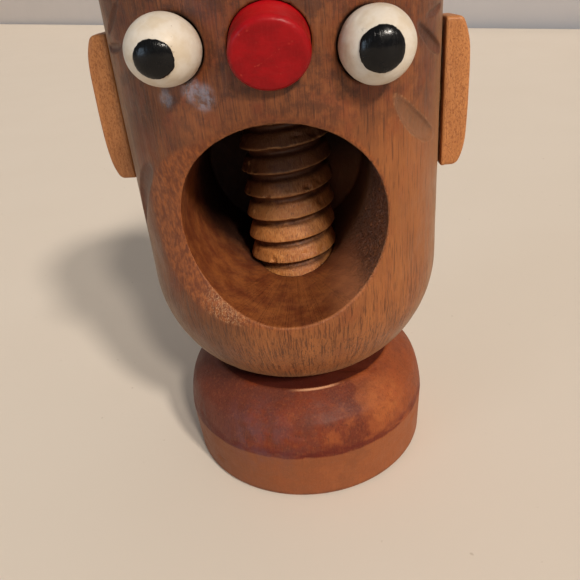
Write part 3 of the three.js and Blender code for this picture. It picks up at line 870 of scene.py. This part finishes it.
def make_head():
    points, quads, normals = surface(head_field, HEAD_LOW, HEAD_HIGH, HEAD_STEP)
    x, y, z = points.T
    wall, hole, seats = mouth_wall(x, y, z), chin_hole(x, y, z), sockets(x, y, z)
    out, angle = round_mouth(x, z)
    bore = ramp(np.abs(wall), 0.5, 0.15) * ramp(head_block(x, y, z), 0.2, -0.6)
    lip = ramp(np.abs(lip_face(x, y, z)), 0.45, 0.1) * ramp(y, -12, -16) * ramp(wall, -0.1, 0.2)
    lip *= ramp(out - lip_width(angle), 0.6, -0.4)
    cheek = ramp(gouge(x, y, z, *GOUGES[CHEEK_CUT]), 0.12, 0.0)
    scoop = np.maximum(ramp(gouges(x, y, z), 0.12, 0.0) - cheek, 0)
    # painted shade and grime in the seats and the thread hole
    recess_shade_and_grime_amount = ramp(seats, 0.45, 0.05) * ramp(nose_seat(x, y, z), 0.3, 0.6)
    recess_shade_and_grime_amount = np.maximum(recess_shade_and_grime_amount, 0.8 * ramp(hole, 0.7, 0.05))
    rim = ramp(np.abs(wall), 0.45, 0.1) * ramp(np.abs(outer_face(x, y, z)), 0.5, 0.1)
    gloss = np.zeros(len(points))
    for turn, height, size in VARNISH_AND_GLINT_SPOTS:
        turn = math.radians(turn)
        spot = (HEAD_RADIUS * math.sin(turn), -HEAD_RADIUS * math.cos(turn), height)
        gloss = np.maximum(gloss, ramp(np.linalg.norm(points - spot, axis=1), size, 0.4 * size))
    torn = bore * ramp(x, 11, 17) * ramp(y, 6, -8) * ramp(z, 96, 86) * ramp(z, 60, 70)

    # the wood is only ever worn away: evenly in the seats and thread, and not at all at the chin's end
    lumps = 0.14 * noise(points, (24, 24, 34), 3) + 0.05 * noise(points, 6, 4)
    lumps += 0.05 * noise(points, (1.6, 1.6, 14), 5)
    tears = 0.45 * noise(points, (2.4, 1.5, 1.6), 6) + 0.25 * noise(points, 0.9, 7) - 0.15
    move = lumps * ramp(seats, 0, 2) * ramp(hole, 0, 2) - 0.12 + torn * ramp(y, -30, -26) * tears
    points = wear(points, normals, np.where(z < CHIN_BOTTOM + 0.4, 0, move))
    marks = {"bore": bore, "lip": lip, "recess_shade_and_grime": recess_shade_and_grime_amount, "torn": torn, "scoop": scoop}
    marks.update({"cheek": cheek, "gloss": gloss, "rim": rim})
    piece("head_block", points, quads, head_wood(), "head", "brown_wood", "head", **marks)


# ---- screw and base


def screw_field(x, y, z):
    radius = np.hypot(x, y)
    worn = thread(x, y, z, 0)
    lead = radius - ROOT_RADIUS - np.maximum(z - THREAD_START, 0)
    tip = SCREW_HIGH[2] - TIP_HEIGHT
    chamfer = (radius - CREST_RADIUS - (tip - z) * (CREST_RADIUS - TIP_RADIUS) / TIP_HEIGHT) * 0.55
    solid = smooth_max(worn, np.maximum(lead * 0.7, chamfer), 0.5)
    solid = smooth_max(solid, np.maximum(SCREW_LOW[2] - z, z - SCREW_HIGH[2]), 0.4)
    hole = np.maximum(radius - DOWEL_RADIUS - GLUE_GAP, z - DOWEL_HIGH[2] - GLUE_GAP)
    return np.maximum(solid, -hole)


def make_screw():
    points, quads, normals = surface(screw_field, SCREW_LOW, SCREW_HIGH, SCREW_STEP)
    radius = np.hypot(points[:, 0], points[:, 1])
    crest = ramp(radius, 10.6, 11.6)
    move = 0.1 * noise(points, (7, 7, 4), 21) + 0.07 * noise(points, 1.8, 22)
    nicks = ramp(noise(points, (2.6, 2.6, 1.6), 23), 0.5, 0.9)
    move = np.minimum(move - 0.14, 0.0) - 0.45 * nicks * crest
    move *= ramp(radius, DOWEL_RADIUS + 0.5, DOWEL_RADIUS + 1.5)
    move *= ramp(points[:, 2] - SCREW_LOW[2], 0.1, 0.8)
    points = wear(points, normals, move)
    piece("thread_spindle", points, quads, screw_wood(), "stand", "screw_wood", "screw")


def make_base():
    rim_radius, height = BASE_HIGH[0], BASE_HIGH[2]
    run = np.array([BASE_TOP_RADIUS - rim_radius, height - RIM_HEIGHT])
    out = np.array([run[1], -run[0]]) / np.hypot(*run)
    profile = [(0, 0), (FOOT_RADIUS - FOOT_CHAMFER, 0), (FOOT_RADIUS, FOOT_CHAMFER)]
    for t in np.linspace(0, 1, 25):
        swell = FLANK_BULGE * (1 - abs(2 * t - 1) ** FLANK_POWER)
        profile.append(np.array([rim_radius, RIM_HEIGHT]) + t * run + swell * out)
    hole_radius, hole_bottom = DOWEL_RADIUS + GLUE_GAP, DOWEL_LOW[2] - GLUE_GAP
    profile += [(hole_radius, height), (hole_radius, hole_bottom), (0, hole_bottom)]
    points, faces = lathe(fillet(profile, 0.42, 1), BASE_SIDES)
    normals = normals_of(points, faces)
    radius = np.hypot(points[:, 0], points[:, 1])
    outside = ramp(radius, 12, 16) * ramp(points[:, 2], 0.2, 1.5)
    dents = ramp(noise(points, (6, 6, 3), 31), 0.62, 0.95)
    move = 0.1 * noise(points, 15, 32) + 0.04 * noise(points, (5, 5, 0.9), 33) - 0.1 - 0.28 * dents
    points = wear(points, normals, move * outside)
    piece("turned_base", points, faces, base_wood(), "stand", "base_wood", "base")


# ---- dowels


def dowel_shape(radius, length, flutes):
    """A cut dowel from z = 0 up to `length`, with chamfered ends and glue flutes."""
    chamfer = 0.15 * radius
    end = [(0, 0), (radius - chamfer, 0), (radius, chamfer)]
    profile = end + [(r, length - z) for r, z in reversed(end)]
    points, faces = lathe(fillet(profile, 0.35, 1), DOWEL_SIDES)
    angle = np.arctan2(points[:, 1], points[:, 0])
    wall = ramp(np.hypot(points[:, 0], points[:, 1]), 0.8 * radius, 0.95 * radius)
    depth = 0.05 * radius * wall * (0.5 + 0.5 * np.cos(flutes * angle))
    points[:, :2] *= (1 - depth / radius)[:, None]
    return points, faces


def dowel(node, body, points, faces):
    piece(f"fluted_{node}", points, faces, DOWEL_WOOD, body, "dowel_wood", node)


def make_dowels():
    points, faces = dowel_shape(DOWEL_RADIUS, DOWEL_HIGH[2] - DOWEL_LOW[2], 18)
    points[:, 2] += DOWEL_LOW[2]
    dowel("spindle_dowel", "spindle_core", points, faces)
    for side, eye in EYES.items():
        points, faces = dowel_shape(PEG_RADIUS, 2 * eye["peg_half"], 10)
        dowel(f"eye_peg_{side}", "head", turn_to(points, eye["inward"], eye["centre"]), faces)
    points, faces = dowel_shape(PEG_RADIUS, NOSE_SUNK + PEG_DEPTH + PEG_REACH, 10)
    points[:, 2] -= NOSE_SUNK + PEG_DEPTH
    dowel("nose_peg", "head", place_on_nose(points), faces)
    for side in EYES:
        low, high = box(f"ear_peg_{side}")
        points, faces = dowel_shape(EAR_PEG_RADIUS, high[0] - low[0], 12)
        start = (low[0], *middle(f"ear_peg_{side}")[1:])
        dowel(f"ear_peg_{side}", "head", turn_to(points, (1, 0, 0), start), faces)


# ---- eyes, nose and ears


def make_eyeball(side, white, seed):
    eye = EYES[side]
    hole, ball = PEG_RADIUS + GLUE_GAP, eye["radius"]
    start = math.pi - math.asin(hole / ball)
    arc = [(ball * math.sin(t), ball * math.cos(t)) for t in np.linspace(start, 0, 90)]
    profile = [(0, GLUE_GAP), (0.5 * hole, GLUE_GAP), (hole, GLUE_GAP), (hole, -0.5 * ball)] + arc
    points, faces = lathe(profile, EYE_SIDES)
    size = np.linalg.norm(points, axis=1)
    skin = ramp(size, 0.97 * ball, 0.995 * ball) * ramp(points[:, 2], -0.85 * ball, -0.6 * ball)
    move = 0.1 * noise(points, 6, seed) + 0.03 * noise(points, (2.5, 2.5, 0.8), seed + 1) - 0.08
    points = points * (1 + np.minimum(move, 0) * skin / np.maximum(size, 1))[:, None]
    points = turn_to(points, -eye["inward"], np.zeros(3))
    points[:, 2] *= 1 - (1 - eye["flatness"]) * skin
    points += eye["centre"]
    piece(f"eyeball_{side}", points, faces, white, "head", "white_paint", f"eye_{side}")


def make_pupil(side, black, seed):
    """A thin shell that lies on the ball: out over its top, then back underneath at an even height."""
    eye = EYES[side]
    vertices = frame["nodes"][f"pupil_{side}"].data.vertices
    cap = (np.array([v.co for v in vertices]) / MM - eye["centre"]) / (1, 1, eye["flatness"])
    gaze = cap.mean(0) / np.linalg.norm(cap.mean(0))
    reach = np.linalg.norm(cap, axis=1)
    spread = np.arccos(np.clip(cap @ gaze / reach, -1, 1)).max()
    peak, floor = reach.max(), eye["radius"] + PAINT_LIFT
    brim = floor + PAINT_EDGE
    rings, segments = 40, 144
    wavy_from = 0.3  # the share of the way out from which the edge's outline is followed in full
    angles = 2 * np.pi * np.arange(segments) / segments
    circle = np.column_stack([np.cos(angles), np.sin(angles), np.zeros(segments)])
    edge = 1 - 0.03 + 0.025 * noise(circle * 2.2, 1, seed) + 0.018 * noise(circle * 9, 1, seed + 1)
    edge = np.minimum(edge, 1.0)
    top, under = [], []
    for k in range(1, rings + 1):
        t = k / rings
        tilt = spread * t * (1 - (1 - edge) * min(t / wavy_from, 1))[:, None]
        ring = np.sin(tilt) * circle + np.cos(tilt) * (0, 0, 1)
        top.append(ring * (brim + (peak - brim) * (1 - t**7) ** 0.6))
        under.append(ring * floor)
    layers = top + under[::-1]
    points = np.concatenate([[[0, 0, peak]], *layers, [[0, 0, floor]]])
    last, rim = len(points) - 1, 1 + (len(layers) - 1) * segments
    faces = []
    for i in range(segments):
        j = (i + 1) % segments
        faces.append((0, 1 + i, 1 + j))
        for k in range(len(layers) - 1):
            a, b = 1 + k * segments, 1 + (k + 1) * segments
            faces.append((a + i, b + i, b + j, a + j))
        faces.append((rim + i, last, rim + j))
    points = turn_to(points, gaze, np.zeros(3)) * (1, 1, eye["flatness"]) + eye["centre"]
    piece(f"painted_pupil_{side}", points, faces, black, "head", "black_paint", f"pupil_{side}")


def place_on_nose(points):
    """Moves a shape built along +Z, with the head's surface at z = 0, onto the leaning line of the nose."""
    lean = math.radians(NOSE_TILT)
    return turn_to(points, (0, -math.cos(lean), -math.sin(lean)), (0, -HEAD_RADIUS, NOSE_Z))


def make_nose():
    hole, hole_top = PEG_RADIUS + GLUE_GAP, PEG_REACH + GLUE_GAP
    bevel = NOSE_RADIUS - NOSE_FACE_RADIUS
    profile = [(0, hole_top), (hole, hole_top), (hole, -NOSE_SUNK), (NOSE_RADIUS, -NOSE_SUNK)]
    profile += [(NOSE_RADIUS, NOSE_PROUD - 1.5 * bevel), (NOSE_FACE_RADIUS, NOSE_PROUD - 0.2)]
    profile += [(0.5 * NOSE_FACE_RADIUS, NOSE_PROUD), (0, NOSE_PROUD)]
    points, faces = lathe(fillet(profile, 0.16, 9), NOSE_SIDES)
    normals = normals_of(points, faces)
    shown = ramp(points[:, 2], -1.5, 0)
    move = 0.06 * noise(points, 4, 61) + 0.02 * noise(points, 0.9, 62) - 0.06
    points = wear(points, normals, move * shown)
    oval = ramp(np.hypot(points[:, 0], points[:, 1]), hole, hole + 1)
    points[:, 1] *= 1 - (1 - NOSE_FLATNESS) * oval
    piece("button_nose", place_on_nose(points), faces, red_paint(), "head", "red_paint", "nose")


def make_ear(side, sign, material, seed):
    low, high = box(f"ear_{side}")
    at, half = 0.5 * (low + high), 0.5 * (high - low)
    inner = min(abs(low[0]), abs(high[0]))
    thickness = high[0] - low[0]

    def field(x, y, z):
        out = sign * x - inner
        up = (z - at[2]) / half[2]
        power = np.where(up > 0, EAR_TOP_POWER, EAR_BOTTOM_POWER)
        bow = thickness - (thickness - EAR_END_THICKNESS) * np.abs(up) ** power
        slab = smooth_max((out - bow) * 0.9, np.abs(z - at[2]) - half[2], 1.1)
        slab = smooth_max(slab, np.abs(y - at[1]) - half[1], 1.1)
        slab = smooth_max(slab, -out, 0.6)
        start, end = (sign * (inner + reach) for reach in (-2, PEG_REACH + GLUE_GAP))
        hole = bar(x, y, z, (start, *at[1:]), (end, *at[1:]), EAR_PEG_RADIUS + GLUE_GAP)
        return np.maximum(slab, -hole)

    points, quads, normals = surface(field, low, high, EAR_STEP)
    out = sign * points[:, 0] - inner
    move = 0.09 * noise(points, (5, 5, 9), seed) + 0.03 * noise(points, (1.2, 1.2, 5), seed + 1) - 0.09
    points = wear(points, normals, move * ramp(out, 0.4, 1.2))
    piece(f"ear_slab_{side}", points, quads, material, "head", "light_wood", f"ear_{side}")


make_base()
make_screw()
make_head()
make_dowels()
WHITE, BLACK = white_paint(), black_paint()
for eye_side, eye_seed in (("left", 51), ("right", 71)):
    make_eyeball(eye_side, WHITE, eye_seed)
    make_pupil(eye_side, BLACK, eye_seed + 2)
make_nose()
make_ear("left", -1, ear_wood("orange_ear_wood_left", 505), 81)
make_ear("right", 1, ear_wood("orange_ear_wood_right", 555), 91)


# ---- floor, wall, light and camera


def stage_mesh(name, corners, material):
    mesh = bpy.data.meshes.new(name)
    mesh.from_pydata(corners, [], [tuple(range(len(corners)))])
    mesh.materials.append(material)
    made = bpy.data.objects.new(name, mesh)
    scene.collection.objects.link(made)


def plain(name, dark, light, rough):
    s = Shader(name)
    s.base = s.mix(s.noise(90, 1001, 2), dark, light)
    specks = s.span(s.noise(2.6, 1011, 1, 0.5), 0.78, 0.84)
    s.paint((150, 130, 108), specks, 0.35)
    s.bump(s.noise(4.0, 1021, 2), 0.02)
    return s.finish(rough, specular=0.25)


# The floor's far edge runs obliquely behind the figure, and the wall stands beyond it.
EDGE_NEAR, EDGE_WAY = Vector((0.512, 0.987, 0)), Vector((-2.6, 3.402, 0)).normalized()
INTO_ROOM = Vector((-EDGE_WAY.y, EDGE_WAY.x, 0))
FLOOR_SIZE, FLOOR_Z, WALL_GAP, WALL_LOW, WALL_HIGH = 6, -0.0003, 0.02, -0.1, 2.4
edge_a, edge_b = EDGE_NEAR - EDGE_WAY * FLOOR_SIZE, EDGE_NEAR + EDGE_WAY * FLOOR_SIZE
near_side = INTO_ROOM * 2 * FLOOR_SIZE
floor_corners = [(p.x, p.y, FLOOR_Z) for p in (edge_b, edge_b + near_side, edge_a + near_side, edge_a)]
stage_mesh("floor", floor_corners, plain("pale_floor", (220, 209, 195), (224, 214, 201), 0.6))
wall_a, wall_b = edge_a - INTO_ROOM * WALL_GAP, edge_b - INTO_ROOM * WALL_GAP
wall_corners = [(p.x, p.y, WALL_LOW) for p in (wall_a, wall_b)]
wall_corners += [(p.x, p.y, WALL_HIGH) for p in (wall_b, wall_a)]
stage_mesh("wall", wall_corners, plain("grey_wall", (232, 226, 224), (236, 230, 228), 0.7))


LIGHT_TARGET, SUN_SOFTNESS = (0, 0, 0.08), 6
LAMP_TINT, WINDOW_TINT, ROOM_TINT = (1.0, 0.9, 0.79), (0.62, 0.8, 1.0), (0.86, 0.84, 0.82)


def light(name, kind, power, tint, towards, distance=0, **settings):
    """A light that stands in direction `towards` from the target and shines back at it."""
    data = bpy.data.lights.new(name, kind)
    data.energy = power
    data.color = tint
    for key, value in settings.items():
        setattr(data, key, value)
    made = bpy.data.objects.new(name, data)
    way = Vector(towards).normalized()
    made.location = Vector(LIGHT_TARGET) + way * distance
    made.rotation_mode = "QUATERNION"
    made.rotation_quaternion = way.to_track_quat("Z", "Y")
    scene.collection.objects.link(made)


def sun(name, azimuth, elevation, strength):
    """A distant lamp at an angle round from the figure's front towards its right, and above the floor."""
    azimuth, elevation = math.radians(azimuth), math.radians(elevation)
    flat = math.cos(elevation)
    way = (flat * math.sin(azimuth), -flat * math.cos(azimuth), math.sin(elevation))
    light(name, "SUN", strength, LAMP_TINT, way, angle=math.radians(SUN_SOFTNESS))


sun("near_lamp", 36, 38, 1.95)
sun("far_lamp", 24, 36, 1.3)
light("window", "AREA", 9, WINDOW_TINT, (-0.78, -0.6, 0.16), distance=2.4, size=0.8)

world = bpy.data.worlds.new("room")
world.use_nodes = True
background = world.node_tree.nodes["Background"]
background.inputs["Color"].default_value = (*ROOM_TINT, 1)
background.inputs["Strength"].default_value = 0.27
scene.world = world
scene.view_settings.view_transform = "Standard"

# The camera's right, up and backward directions, its place and its lens in millimetres
CAMERA_AXES = (
    (0.99651, 0.00182, -0.08349),
    (0.07259, 0.47528, 0.87683),
    (0.04128, -0.87983, 0.47349),
)
CAMERA_PLACE = (4.734, -148.19, 125.80)
SENSOR_WIDTH, LENS = 36, 36.06207

camera = bpy.data.cameras.new("camera")
camera.sensor_width, camera.lens = SENSOR_WIDTH, LENS
camera.clip_start, camera.clip_end = 0.005, 50
camera_object = bpy.data.objects.new("camera", camera)
turned = Matrix(CAMERA_AXES).transposed().to_4x4()
camera_object.matrix_world = Matrix.Translation(Vector(CAMERA_PLACE) * MM) @ turned
scene.collection.objects.link(camera_object)
scene.camera = camera_object
